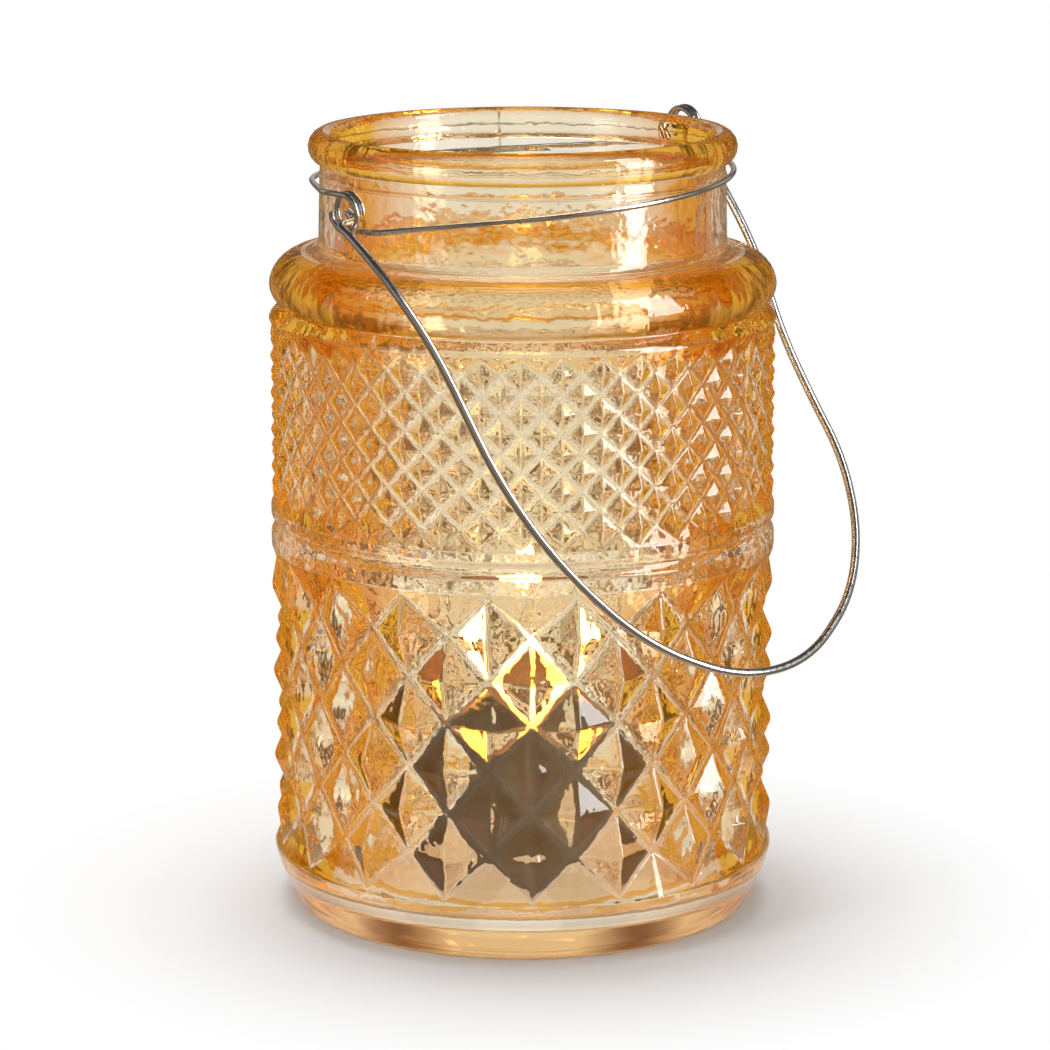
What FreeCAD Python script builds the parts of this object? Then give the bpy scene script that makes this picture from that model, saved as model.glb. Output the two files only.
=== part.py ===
"""Glass jar lantern with a wire bail and a battery candle inside.

Units are millimetres, Z is up. The origin is the middle of the jar's foot ring, on the surface
that the jar stands on. The two wire eyes lie on the X axis and the bail hangs towards -Y.
"""
import FreeCAD, Part
import math
import os

Vector = FreeCAD.Vector
UP = Vector(0, 0, 1)

# Glass jar
jar_radius = 61.2
jar_wall = 5.8
foot_set_in = 7.5
foot_corner = 2.7
foot_corner_bow = 0.16
foot_taper_top = 14.3
foot_taper_bow = 0.056
foot_width = 7.0
foot_recess = 1.8
recess_slope = 4.0
floor_thickness = 7.6
floor_radius = 8.0

# Large diamonds pressed into the lower half of the jar
large_count = 18
large_half_rows = 7
large_bottom = 14.8
large_half_pitch = 10.65
large_depth = 2.6
large_turn = -41.85

# Small diamonds pressed into the upper half of the jar
small_count = 40
small_half_rows = 10
small_gap = 10.5
small_half_pitch = 4.51
small_depth = 1.3
small_turn = -44.4

# The points of the diamonds stay this far inside the smooth wall
diamond_setback = 0.3

# Belt between the two bands, and the groove above it
belt_height = 4.2
belt_groove_depth = 1.2
belt_groove_width = 3.4

# Groove and shoulder above the small diamonds
shoulder_groove_rise = 3.4
shoulder_groove_depth = 2.6
shoulder_rise = 8.6
shoulder_top_rise = 16.1
shoulder_set_in = 0.1
shoulder_bow = 0.205
groove_entry_bow = 0.045
groove_lip_width = 0.5
groove_lip_height = 0.9
neck_fillet = 3.1

# Neck and rim
neck_step = 12.1
neck_height = 18.25
neck_wall = 3.4
neck_taper = 0.5
rim_height = 7.6
rim_overhang = 2.8
rim_roll_height = 3.9
rim_roll_bow = 0.16
rim_crown_width = 2.6
rim_crown_height = 3.4
rim_crown_bow = 0.15
lip_radius = 2.0
inner_neck_drop = 1.0
inner_shoulder_drop = 12.0
inner_shoulder_bow = 0.13

# Neck wire: two half hoops with an eye bent at each end
neck_wire_diameter = 1.4
neck_wire_gap = 1.1
eye_radius = 4.4
eye_drop = 17.5
eye_step = 12.0
eye_clearance = 0.4
eye_turn = 270.0
eye_steps = 6
eye_run = 7.0
hoop_steps = 9
hoop_curve = 1.54
back_hoop_sag = 3.0
hoop_flare = 30.0

# Bail: a bent wire whose hooked ends turn in the eyes
bail_diameter = 2.0
bail_bend = 1.7
bail_hook_reach = 3.8
bail_hook_gap = 0.9
bail_pin_lift = 0.3

# Lowest point of the bail below the rim, and its widest gap from the jar's smooth wall
bail_drop = 121.0
bail_gap = 19.8

# Route of the bail from the left eye to the right one: bearing from -Y in degrees,
# share of the widest gap, share of the drop
bail_route = (
    (-74.0, 0.05, 0.223),
    (-62.5, 0.06, 0.355),
    (-48.5, 0.09, 0.612),
    (-35.5, 0.20, 0.777),
    (-20.5, 0.48, 0.917),
    (-2.0, 0.68, 1.0),
    (14.5, 0.86, 0.996),
    (29.5, 1.0, 0.901),
    (39.5, 0.98, 0.785),
    (47.7, 0.79, 0.661),
    (54.0, 0.455, 0.55),
    (60.0, 0.17, 0.43),
    (71.5, 0.065, 0.264),
)

# Battery candle standing on the floor of the jar
seat_gap = 0.3
candle_radius = 22.0
candle_height = 38.5
candle_wall = 1.6
candle_edge = 2.0
dish_depth = 2.6
dish_floor_radius = 9.0
dish_wall = 1.8
dish_rim = 2.8

# Flame-shaped diffuser
flame_radius = 6.0
flame_height = 36.0
flame_belly_height = 10.0
flame_belly_bow = 0.05
flame_shoulder_height = 24.5
flame_shoulder_radius = 3.2
flame_tip_radius = 0.4
flame_tip_bow = 0.03
flame_air = 4.0
flame_fit = 0.2
flame_flange = 1.6
flame_flange_thickness = 1.2
flame_wall = 1.2

# Base plate with its battery well
plate_inset = 0.8
plate_thickness = 2.0
plate_fit = 0.15
cell_margin = 9.75
cell_height = 5.0
cell_step = 1.0
well_clearance = 0.65
well_wall = 1.2
contact_room = 1.4
roof_thickness = 1.2

# Twist cap under the battery
cap_fit = 0.3
cap_lift = 0.3
lug_reach = 0.6
lug_height = 1.0
lug_angle = 36.0
lug_play = 4.0
cap_turn = 45.0
coin_slot_length = 14.0
coin_slot_width = 1.8
coin_slot_depth = 1.0

# Screws that hold the base plate
screw_count = 3
screw_edge = 2.4
screw_shank = 1.5
screw_head = 3.6
screw_length = 9.0
post_diameter = 4.2
pilot_fit = 0.05
screw_tip = 1.0

# Circuit board and what is soldered to it
board_margin = 0.3
board_thickness = 1.2
tab_clearance = 1.0
board_tab_width = 11.0
contact_thickness = 0.3
contact_width = 3.0
contact_slot_fit = 0.15
contact_tail = 0.8
spring_inset = 3.25
chip_radius = 2.3
chip_height = 1.3
chip_place = (7.0, -5.5)
resistor_radius = 1.1
resistor_length = 5.0
resistor_lead = 0.5
resistor_pitch = 8.0
resistor_place = (6.5, 5.0)
led_radius = 2.5
led_flange = 0.4
led_flange_thickness = 1.0
led_barrel = 5.0
led_socket_fit = 0.1
lead_size = 0.5
lead_pitch = 2.54

# Slide switch under the board's tab
switch_length = 8.6
switch_width = 3.8
switch_height = 3.8
switch_wall = 0.5
switch_travel = 2.5
knob_length = 2.4
knob_width = 1.4
knob_recess = 0.4
knob_fit = 0.3
knob_flange = 0.4
knob_flange_height = 1.2
terminal_size = 0.5
terminal_pitch = 2.5

# Share of a run that a wire's bend may take at each end
bend_share = 0.49


def point(radius, height):
    """A point of a turned outline, in the XZ plane."""
    return Vector(radius, 0, height)


def dome_bow(radius, height):
    """Bow of the arc from the edge of a round dome up to its top."""
    return math.tan(math.atan2(height, radius) / 2) / 2


# Bow of a quarter turn
quarter_bow = dome_bow(1, 1)


def outline(start, *steps):
    """Edges through the steps; a third number bows a step to its right, as a share of its length."""
    edges = []
    here = point(*start)
    for step in steps:
        there = point(*step[:2])
        if len(step) == 3:
            run = there - here
            middle = (here + there) / 2 + Vector(run.z, 0, -run.x) * step[2]
            edges.append(Part.Arc(here, middle, there).toShape())
        else:
            edges.append(Part.LineSegment(here, there).toShape())
        here = there
    return edges


def turned(start, *steps):
    """A solid turned round the Z axis from a closed outline."""
    edges = outline(start, *steps, start)
    return Part.Face(Part.Wire(edges)).revolve(Vector(), UP, 360)


def disc(radius, height, bottom):
    """An upright cylinder on the Z axis."""
    return Part.makeCylinder(radius, height, Vector(0, 0, bottom))


def block(low, high):
    """A box between two corners."""
    size = high - low
    return Part.makeBox(size.x, size.y, size.z, low)


def rounded_path(corners):
    """Straight runs through the corners, joined by arcs as large as the runs allow."""
    edges = []
    here = corners[0]
    for before, corner, after in zip(corners, corners[1:], corners[2:]):
        back = before - corner
        ahead = after - corner
        room = bend_share * min(back.Length, ahead.Length)
        back.normalize()
        ahead.normalize()
        half = back.getAngle(ahead) / 2
        inward = (back + ahead).normalize()
        middle = corner + inward * (room / math.cos(half) - room * math.tan(half))
        start = corner + back * room
        end = corner + ahead * room
        edges.append(Part.LineSegment(here, start).toShape())
        edges.append(Part.Arc(start, middle, end).toShape())
        here = end
    edges.append(Part.LineSegment(here, corners[-1]).toShape())
    return Part.Wire(edges)


def bent_wire(corners, diameter):
    """A round wire along the rounded path, with flat cut ends."""
    path = rounded_path(corners)
    section = Part.makeCircle(diameter / 2, corners[0], corners[1] - corners[0])
    return path.makePipeShell([Part.Wire([section])], True, False)


def strip(corners, thickness, width, place):
    """A bent sheet strip: its centre line in the XZ plane, its width along Y."""
    sides = ([], [])
    for index, corner in enumerate(corners):
        runs = []
        if index > 0:
            runs.append(corner - corners[index - 1])
        if index < len(corners) - 1:
            runs.append(corners[index + 1] - corner)
        normals = [Vector(-run.z, 0, run.x).normalize() for run in runs]
        mitre = sum(normals, Vector()).normalize()
        reach = thickness / 2 / mitre.dot(normals[0])
        sides[0].append(corner + mitre * reach)
        sides[1].append(corner - mitre * reach)
    ring = sides[0] + sides[1][::-1]
    face = Part.Face(Part.makePolygon(ring + ring[:1]))
    face.translate(place - Vector(0, width / 2, 0))
    return face.extrude(Vector(0, width, 0))


# Radii and heights of the jar that follow from the sizes above
foot_radius = jar_radius - foot_set_in
bore_radius = jar_radius - jar_wall
neck_radius = jar_radius - neck_step
mouth_radius = neck_radius - neck_wall
large_top = large_bottom + large_half_rows * large_half_pitch
small_bottom = large_top + small_gap
small_top = small_bottom + small_half_rows * small_half_pitch
belt_top = large_top + belt_height
shoulder_groove = small_top + shoulder_groove_rise
shoulder_middle = small_top + shoulder_rise
shoulder_top = small_top + shoulder_top_rise
shoulder_radius = jar_radius - shoulder_set_in
neck_top_radius = neck_radius - neck_taper
neck_foot = shoulder_top + neck_fillet
rim_bottom = neck_foot + neck_height
jar_height = rim_bottom + rim_height
rim_radius = neck_top_radius + rim_overhang

# Places of the wires
hoop_radius = neck_radius + neck_wire_gap + neck_wire_diameter / 2
hook_inner = rim_radius + bail_hook_gap + bail_diameter / 2
eye_inner = hook_inner + bail_diameter / 2 + eye_clearance + neck_wire_diameter / 2
eye_outer = eye_inner + neck_wire_diameter + eye_clearance
leg_reach = eye_outer + neck_wire_diameter / 2 + eye_clearance + bail_diameter / 2
eye_height = jar_height - eye_drop
eye_rise = eye_radius - neck_wire_diameter / 2 - bail_diameter / 2 - bail_pin_lift
pin_middle = Vector(0, 0, eye_height + eye_step / 2)
pin_axis = Vector(2 * leg_reach, 0, eye_step).normalize()
eye_up = Vector(-pin_axis.z, 0, pin_axis.x)

# Heights inside the candle
candle_bottom = floor_thickness + seat_gap
candle_inner = candle_radius - candle_wall
candle_top = candle_bottom + candle_height
dish_floor = candle_top - dish_depth
dish_under = dish_floor - dish_wall
plate_bottom = candle_bottom + plate_inset
plate_top = plate_bottom + plate_thickness
plate_radius = candle_inner - plate_fit
screw_circle = candle_inner - screw_edge
cell_radius = candle_radius - cell_margin
well_radius = cell_radius + well_clearance
cap_radius = well_radius
cap_hole = cap_radius + cap_fit
lug_radius = cap_hole + lug_reach
lug_groove = lug_radius + cap_fit
lug_inner = cell_radius + cap_fit
lug_top = plate_top + cap_lift + lug_height
lug_ceiling = lug_top + cap_fit
well_outer = lug_groove + well_wall
board_radius = well_outer - board_margin
board_tab_reach = candle_inner - tab_clearance
spring_half_length = cell_radius - spring_inset
cell_bottom = plate_top + 2 * cap_lift
cell_top = cell_bottom + cell_height
roof_bottom = cell_top + contact_room
roof_top = roof_bottom + roof_thickness
board_top = roof_top + board_thickness
flame_hole = flame_radius + flame_fit
flame_bottom = dish_under - flame_flange_thickness
led_bottom = flame_bottom
switch_bottom = roof_top - switch_height
switch_middle = -(board_tab_reach - switch_width / 2)


def diamond_band(count, half_rows, bottom, half_pitch, depth, turn):
    """Facets of a band of four-sided points, and its lower and upper edge."""
    tip_radius = jar_radius - diamond_setback
    columns = 2 * count

    def corner(row, column):
        radius = tip_radius if (row + column) % 2 else tip_radius - depth
        angle = math.radians(turn + column % columns * 360.0 / columns)
        height = bottom + row * half_pitch
        return Vector(radius * math.sin(angle), -radius * math.cos(angle), height)

    facets = []
    for row in range(half_rows + 1):
        for column in range(columns):
            if (row + column) % 2 == 0:
                continue
            for rise in (-1, 1):
                if not 0 <= row + rise <= half_rows:
                    continue
                for side in (-1, 1):
                    ring = [corner(row, column), corner(row, column + side), corner(row + rise, column)]
                    facets.append(Part.Face(Part.makePolygon(ring + ring[:1])))
    edges = []
    for row in (0, half_rows):
        ring = [corner(row, column) for column in range(columns)]
        edges.append(Part.makePolygon(ring + ring[:1]))
    return facets, edges


def ledge(radius, height, edge):
    """Flat ring between the smooth wall and the zigzag edge of a band."""
    circle = Part.Wire([Part.makeCircle(radius, Vector(0, 0, height))])
    return Part.makeFace([circle, edge], "Part::FaceMakerBullseye")


def turned_skin(start, *steps):
    """Open skin turned round the Z axis from an open outline."""
    return Part.Wire(outline(start, *steps)).revolve(Vector(), UP, 360).Faces


def jar():
    """The pressed glass jar, with both diamond bands and its bore."""
    foot_inner = foot_radius - foot_width
    faces = turned_skin(
        (0, foot_recess),
        (foot_inner - recess_slope, foot_recess),
        (foot_inner, 0),
        (foot_radius, 0),
        (foot_radius + foot_corner, foot_corner, foot_corner_bow),
        (jar_radius, foot_taper_top, foot_taper_bow),
        (jar_radius, large_bottom),
    )
    faces += turned_skin(
        (jar_radius, large_top),
        (jar_radius, belt_top),
        (jar_radius, belt_top + belt_groove_width, -belt_groove_depth / belt_groove_width),
        (jar_radius, small_bottom),
    )
    groove_radius = jar_radius - shoulder_groove_depth
    bore_top = shoulder_top - inner_neck_drop
    faces += turned_skin(
        (jar_radius, small_top),
        (groove_radius, shoulder_groove, groove_entry_bow),
        (groove_radius + groove_lip_width, shoulder_groove + groove_lip_height),
        (shoulder_radius, shoulder_middle, groove_entry_bow),
        (neck_radius + neck_fillet, shoulder_top, shoulder_bow),
        (neck_radius, neck_foot, -quarter_bow),
        (neck_top_radius, rim_bottom),
        (rim_radius, rim_bottom + rim_roll_height, rim_roll_bow),
        (rim_radius, jar_height - rim_crown_height),
        (rim_radius - rim_crown_width, jar_height, rim_crown_bow),
        (mouth_radius + lip_radius, jar_height),
        (mouth_radius, jar_height - lip_radius, quarter_bow),
        (mouth_radius, bore_top),
        (bore_radius, bore_top - inner_shoulder_drop, -inner_shoulder_bow),
        (bore_radius, floor_thickness + floor_radius),
        (bore_radius - floor_radius, floor_thickness, -quarter_bow),
        (0, floor_thickness),
    )
    bands = (
        (large_count, large_half_rows, large_bottom, large_half_pitch, large_depth, large_turn),
        (small_count, small_half_rows, small_bottom, small_half_pitch, small_depth, small_turn),
    )
    for count, half_rows, bottom, half_pitch, depth, turn in bands:
        facets, edges = diamond_band(count, half_rows, bottom, half_pitch, depth, turn)
        faces += facets
        for edge in edges:
            faces.append(ledge(jar_radius, edge.BoundBox.ZMin, edge))
    skin = Part.makeShell(faces)
    skin.sewShape()
    glass = Part.makeSolid(skin)
    if glass.Volume < 0:
        glass.reverse()
    return glass


def pin_place(side, reach):
    """Point on the axis of the bail's pins: side is -1 for the left and 1 for the right."""
    return pin_middle + pin_axis * side * reach


def eye_point(middle, radius, angle):
    """Point of an eye at an angle from +Y, square to the pins."""
    turn = math.radians(angle)
    return middle + Vector(0, radius * math.cos(turn), 0) + eye_up * radius * math.sin(turn)


def eye_loop(side, reach, first, direction):
    """Corners of an eye's turn, from its first angle to its cut end."""
    step = direction * eye_turn / eye_steps
    corner_radius = eye_radius / math.cos(math.radians(step / 2))
    middle = pin_place(side, reach) + eye_up * eye_rise
    corners = [eye_point(middle, corner_radius, first + step * (index + 0.5)) for index in range(eye_steps)]
    corners.append(eye_point(middle, eye_radius, first + step * eye_steps))
    return corners


def eye_start(side, reach, first):
    """Where a hoop runs into its eye."""
    return eye_point(pin_place(side, reach) + eye_up * eye_rise, eye_radius, first)


def hoop_corners(front, left, right, heights):
    """Corners of a half hoop between its two eyes; front is -1 or 1 along Y."""
    corners = [left + Vector(0, front * eye_run, 0)]
    sweep = 180.0 - 2 * hoop_flare
    for index in range(hoop_steps):
        bearing = hoop_flare + sweep * index / (hoop_steps - 1)
        angle = math.radians(bearing)
        across = -hoop_radius * math.cos(angle)
        along = front * hoop_radius * math.sin(angle)
        corners.append(Vector(across, along, heights(bearing / 180.0)))
    corners.append(right + Vector(0, front * eye_run, 0))
    return corners


def neck_wire_front():
    """Half hoop round the front of the neck, its eyes turned up at both ends."""
    left = eye_start(-1, eye_inner, -90)
    right = eye_start(1, eye_inner, -90)

    def heights(share):
        return left.z + (right.z - left.z) * (1 - (1 - share) ** hoop_curve)

    corners = eye_loop(-1, eye_inner, -90, 1)[::-1]
    corners += hoop_corners(-1, left, right, heights)
    corners += eye_loop(1, eye_inner, -90, 1)
    return bent_wire(corners, neck_wire_diameter)


def neck_wire_back():
    """Half hoop round the back of the neck, its left eye turned down and its right eye up."""
    left = eye_start(-1, eye_outer, 90)
    right = eye_start(1, eye_outer, -90)

    def heights(share):
        return left.z + (right.z - left.z) * share - back_hoop_sag * math.sin(math.pi * share)

    corners = eye_loop(-1, eye_outer, 90, 1)[::-1]
    corners += hoop_corners(1, left, right, heights)
    corners += eye_loop(1, eye_outer, -90, -1)
    return bent_wire(corners, neck_wire_diameter)


def bail():
    """The bail: hooked end, leg, arch, leg and hooked end in one wire."""
    legs = []
    for bearing, gap_share, drop_share in bail_route:
        angle = math.radians(bearing)
        radius = jar_radius + gap_share * bail_gap + bail_diameter / 2
        height = jar_height - drop_share * bail_drop
        legs.append(Vector(radius * math.sin(angle), -radius * math.cos(angle), height))

    def hook(side, leg):
        pin = pin_place(side, leg_reach)
        inner = pin_place(side, hook_inner)
        away = (pin - leg) - pin_axis * (pin - leg).dot(pin_axis)
        away.normalize()
        return [inner + away * bail_hook_reach, inner, pin, pin - away * 2 * bail_bend]

    return bent_wire(hook(-1, legs[0]) + legs + hook(1, legs[-1])[::-1], bail_diameter)


def around(shape, count, first):
    """Copies of a shape turned round the Z axis."""
    return [shape.copy().rotate(Vector(), UP, first + 360.0 * index / count) for index in range(count)]


def sector(inner, outer, bottom, height, middle, width):
    """Part of a ring between two radii, as wide as the angle."""
    profile = [
        point(inner, bottom),
        point(outer, bottom),
        point(outer, bottom + height),
        point(inner, bottom + height),
    ]
    face = Part.Face(Part.makePolygon(profile + profile[:1]))
    face.rotate(Vector(), UP, middle - width / 2)
    return face.revolve(Vector(), UP, width)


def candle_body():
    """Moulded outer shell of the candle, dished on top, with its screw posts."""
    rim_inner = candle_radius - candle_edge - dish_rim / 2
    under_rim = candle_top - dish_wall
    shell = turned(
        (candle_inner, candle_bottom),
        (candle_radius, candle_bottom),
        (candle_radius, candle_top - candle_edge),
        (candle_radius - candle_edge, candle_top, quarter_bow),
        (rim_inner, candle_top),
        (dish_floor_radius, dish_floor),
        (flame_hole, dish_floor),
        (flame_hole, dish_under),
        (dish_floor_radius, dish_under),
        (rim_inner, under_rim),
        (candle_inner, under_rim),
    )
    post_top = under_rim + dish_wall / 4
    post = Part.makeCylinder(post_diameter / 2, post_top - plate_top, Vector(screw_circle, 0, plate_top))
    pilot = Part.makeCylinder(
        screw_shank / 2 + pilot_fit, screw_length, Vector(screw_circle, 0, plate_top)
    )
    shell = shell.fuse(around(post, screw_count, 0))
    return shell.cut(around(pilot, screw_count, 0)).removeSplitter()


def screw_profile(clearance):
    """A countersunk screw at its place on +X, grown by a clearance."""
    head_radius = screw_head / 2 + clearance
    shank_radius = screw_shank / 2 + clearance
    head_depth = (screw_head - screw_shank) / 2
    top = plate_bottom + screw_length
    screw = turned(
        (0, plate_bottom),
        (head_radius, plate_bottom),
        (shank_radius, plate_bottom + head_depth),
        (shank_radius, top - screw_tip),
        (0, top),
    )
    screw.translate(Vector(screw_circle, 0, 0))
    return screw


def base_screws():
    """The countersunk screws, driven up into the posts."""
    return Part.makeCompound(around(screw_profile(0), screw_count, 0))


def contact_slots():
    """Slots for the tails of both contacts, through the roof and the board."""
    fit = contact_slot_fit
    half_width = contact_width / 2 + fit
    half_thick = contact_thickness / 2 + fit
    slots = []
    for centre in (spring_half_length, -positive_place()):
        low = Vector(centre - half_thick, -half_width, roof_bottom)
        high = Vector(centre + half_thick, half_width, board_top)
        slots.append(block(low, high))
    return slots


def positive_place():
    """Distance of the positive contact's sheet from the candle's axis."""
    return cell_radius + contact_thickness / 2 + pilot_fit


def base_plate():
    """Base plate with the battery well, the bayonet groove and the switch slot."""
    plate = disc(plate_radius, plate_thickness, plate_bottom)
    well = disc(well_outer, roof_top - plate_top, plate_top)
    plate = plate.fuse(well)
    cuts = [
        disc(cap_hole, plate_thickness, plate_bottom),
        disc(lug_groove, lug_ceiling - plate_top, plate_top),
        disc(well_radius, roof_bottom - plate_top, plate_top),
    ]
    notch = sector(lug_inner, lug_groove, plate_bottom, plate_thickness, cap_turn, lug_angle + lug_play)
    cuts += around(notch, 2, 0)
    cuts += around(screw_profile(pilot_fit), screw_count, 0)
    cuts += contact_slots()
    slot_y = (knob_length + switch_travel) / 2 + knob_fit
    slot_x = knob_width / 2 + knob_fit
    cuts.append(block(
        Vector(switch_middle - slot_x, -slot_y, plate_bottom),
        Vector(switch_middle + slot_x, slot_y, plate_top),
    ))
    return plate.cut(cuts).removeSplitter()


def battery_cap():
    """Twist cap with two bayonet lugs and a coin slot."""
    top = plate_top + cap_lift
    bottom = plate_bottom + cap_lift
    cap = disc(cap_radius, top - bottom, bottom)
    lug = sector(lug_inner, lug_radius, top, lug_height, 0, lug_angle)
    cap = cap.fuse(around(lug, 2, 0))
    half_length = coin_slot_length / 2
    half_width = coin_slot_width / 2
    slot = block(
        Vector(-half_length, -half_width, bottom),
        Vector(half_length, half_width, bottom + coin_slot_depth),
    )
    return cap.cut(slot).removeSplitter()


def coin_cell():
    """Coin cell, its smaller pole on top."""
    pole_radius = cell_radius - cell_step
    shoulder = cell_top - cell_step
    return turned(
        (0, cell_bottom),
        (cell_radius, cell_bottom),
        (cell_radius, shoulder),
        (pole_radius, shoulder),
        (pole_radius, cell_top),
        (0, cell_top),
    )


def negative_contact():
    """Leaf spring under the roof, bowed down on to the cell, its tail up through the board."""
    flat = roof_bottom - contact_thickness / 2
    low = cell_top + contact_thickness / 2 + pilot_fit
    bow = spring_half_length / 3
    leaf = [
        Vector(-spring_half_length, 0, flat),
        Vector(-bow, 0, flat),
        Vector(0, 0, low),
        Vector(bow, 0, flat),
        Vector(spring_half_length, 0, flat),
        Vector(spring_half_length, 0, board_top + contact_tail),
    ]
    return strip(leaf, contact_thickness, contact_width, Vector())


def positive_contact():
    """Strip beside the cell, its tail up through the board."""
    place = -positive_place()
    leaf = [
        Vector(place, 0, lug_ceiling + contact_room),
        Vector(place, 0, board_top + contact_tail),
    ]
    return strip(leaf, contact_thickness, contact_width, Vector())


def lead_places():
    """Where the two leads of the light stand on the board."""
    return [Vector(0, side * lead_pitch / 2, 0) for side in (-1, 1)]


def resistor_ends():
    """Where the resistor's two leads go into the board."""
    middle = Vector(resistor_place[0], resistor_place[1], 0)
    return [middle + Vector(side * resistor_pitch / 2, 0, 0) for side in (-1, 1)]


def circuit_board():
    """Round board on the roof of the well, with a tab over the switch."""
    board = disc(board_radius, board_thickness, roof_top)
    tab = block(
        Vector(-board_tab_reach, -board_tab_width / 2, roof_top),
        Vector(0, board_tab_width / 2, board_top),
    )
    holes = contact_slots()
    hole_radius = lead_size / math.sqrt(2) + pilot_fit
    for place in lead_places() + resistor_ends():
        holes.append(Part.makeCylinder(hole_radius, board_thickness, place + Vector(0, 0, roof_top)))
    holes += terminal_pins(pilot_fit)
    return board.fuse(tab).cut(holes).removeSplitter()


def flicker_chip():
    """Bead of resin over the flicker chip."""
    chip = turned(
        (0, board_top),
        (chip_radius, board_top),
        (0, board_top + chip_height, dome_bow(chip_radius, chip_height)),
    )
    chip.translate(Vector(chip_place[0], chip_place[1], 0))
    return chip


def resistor():
    """Resistor lying on the board, its leads bent down through their holes."""
    first, last = [end + Vector(0, 0, roof_top) for end in resistor_ends()]
    axis_height = board_thickness + resistor_radius
    lift = Vector(0, 0, axis_height)
    lead = bent_wire([first, first + lift, last + lift, last], resistor_lead)
    start = (first + last) / 2 + lift - Vector(resistor_length / 2, 0, 0)
    body = Part.makeCylinder(resistor_radius, resistor_length, start, Vector(1, 0, 0))
    return body.fuse(lead).removeSplitter()


def led():
    """Light-emitting diode with its flange and dome."""
    flange_radius = led_radius + led_flange
    flange_top = led_bottom + led_flange_thickness
    dome = led_bottom + led_flange_thickness + led_barrel
    return turned(
        (0, led_bottom),
        (flange_radius, led_bottom),
        (flange_radius, flange_top),
        (led_radius, flange_top),
        (led_radius, dome),
        (0, dome + led_radius, quarter_bow),
    )


def led_leads():
    """Two square leads from the board up to the light."""
    half = lead_size / 2
    leads = []
    for place in lead_places():
        low = place + Vector(-half, -half, roof_top)
        high = place + Vector(half, half, led_bottom)
        leads.append(block(low, high))
    return Part.makeCompound(leads)


def flame_tip():
    """Hollow flame with a flange under the dish and a socket for the light."""
    neck = flame_radius - flame_wall
    tip = dish_floor + flame_height
    outside = turned(
        (0, flame_bottom),
        (flame_hole + flame_flange, flame_bottom),
        (flame_hole + flame_flange, dish_under),
        (neck, dish_under),
        (neck, dish_floor),
        (flame_radius, dish_floor + flame_belly_height, flame_belly_bow),
        (flame_shoulder_radius, dish_floor + flame_shoulder_height, flame_belly_bow),
        (flame_tip_radius, tip - flame_tip_radius, -flame_tip_bow),
        (0, tip, quarter_bow),
    )
    socket_radius = led_radius + led_flange + led_socket_fit
    cavity_radius = led_radius + led_socket_fit
    socket_top = led_bottom + led_flange_thickness + led_socket_fit
    air_top = led_bottom + led_flange_thickness + led_barrel + flame_air
    cavity = turned(
        (0, flame_bottom),
        (socket_radius, flame_bottom),
        (socket_radius, socket_top),
        (cavity_radius, socket_top),
        (cavity_radius, air_top),
        (0, air_top + cavity_radius, quarter_bow),
    )
    return outside.cut(cavity).removeSplitter()


def terminal_pins(clearance):
    """Three square pins from inside the switch up through the board, grown by a clearance."""
    half = terminal_size / 2 + clearance
    pins = []
    for index in (-1, 0, 1):
        middle = Vector(switch_middle, index * terminal_pitch, 0)
        low = middle + Vector(-half, -half, roof_top - switch_wall)
        high = middle + Vector(half, half, board_top + contact_tail)
        pins.append(block(low, high))
    return pins


def switch_terminals():
    """The three soldered pins of the slide switch."""
    return Part.makeCompound(terminal_pins(0))


def slide_switch():
    """Switch can under the board's tab, open towards the base plate."""
    half_x = switch_width / 2
    half_y = switch_length / 2
    can = block(
        Vector(switch_middle - half_x, -half_y, switch_bottom),
        Vector(switch_middle + half_x, half_y, roof_top),
    )
    room_x = half_x - switch_wall
    room_y = half_y - switch_wall
    room = block(
        Vector(switch_middle - room_x, -room_y, switch_bottom + switch_wall),
        Vector(switch_middle + room_x, room_y, roof_top - switch_wall),
    )
    slot_x = knob_width / 2 + knob_fit
    slot_y = (knob_length + switch_travel) / 2 + knob_fit
    slot = block(
        Vector(switch_middle - slot_x, -slot_y, switch_bottom),
        Vector(switch_middle + slot_x, slot_y, switch_bottom + switch_wall),
    )
    return can.cut([room, slot] + terminal_pins(pilot_fit))


def switch_knob():
    """Knob of the switch, pushed to its lit end, with a flange inside the can."""
    middle = Vector(switch_middle, -switch_travel / 2, 0)
    half_x = knob_width / 2
    half_y = knob_length / 2
    flange_bottom = switch_bottom + switch_wall + knob_fit
    stem = block(
        middle + Vector(-half_x, -half_y, candle_bottom + knob_recess),
        middle + Vector(half_x, half_y, flange_bottom + knob_flange_height),
    )
    flange = block(
        middle + Vector(-half_x - knob_flange, -half_y - knob_flange, flange_bottom),
        middle + Vector(half_x + knob_flange, half_y + knob_flange, flange_bottom + knob_flange_height),
    )
    return stem.fuse(flange).removeSplitter()


pieces = (
    jar,
    neck_wire_front,
    neck_wire_back,
    bail,
    candle_body,
    base_plate,
    base_screws,
    battery_cap,
    coin_cell,
    negative_contact,
    positive_contact,
    circuit_board,
    flicker_chip,
    resistor,
    led,
    led_leads,
    flame_tip,
    slide_switch,
    switch_terminals,
    switch_knob,
)

os.makedirs("parts", exist_ok=True)
for piece in pieces:
    shape = piece()
    shape.exportStep("parts/" + piece.__name__ + ".step")
    print(piece.__name__, len(shape.Solids), shape.isValid(), round(shape.Volume, 2))
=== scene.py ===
"""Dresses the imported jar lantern: pressed amber glass, bright bent wires and a lit battery candle."""

import math

import bmesh
import bpy
from mathutils import Matrix, Vector


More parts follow.
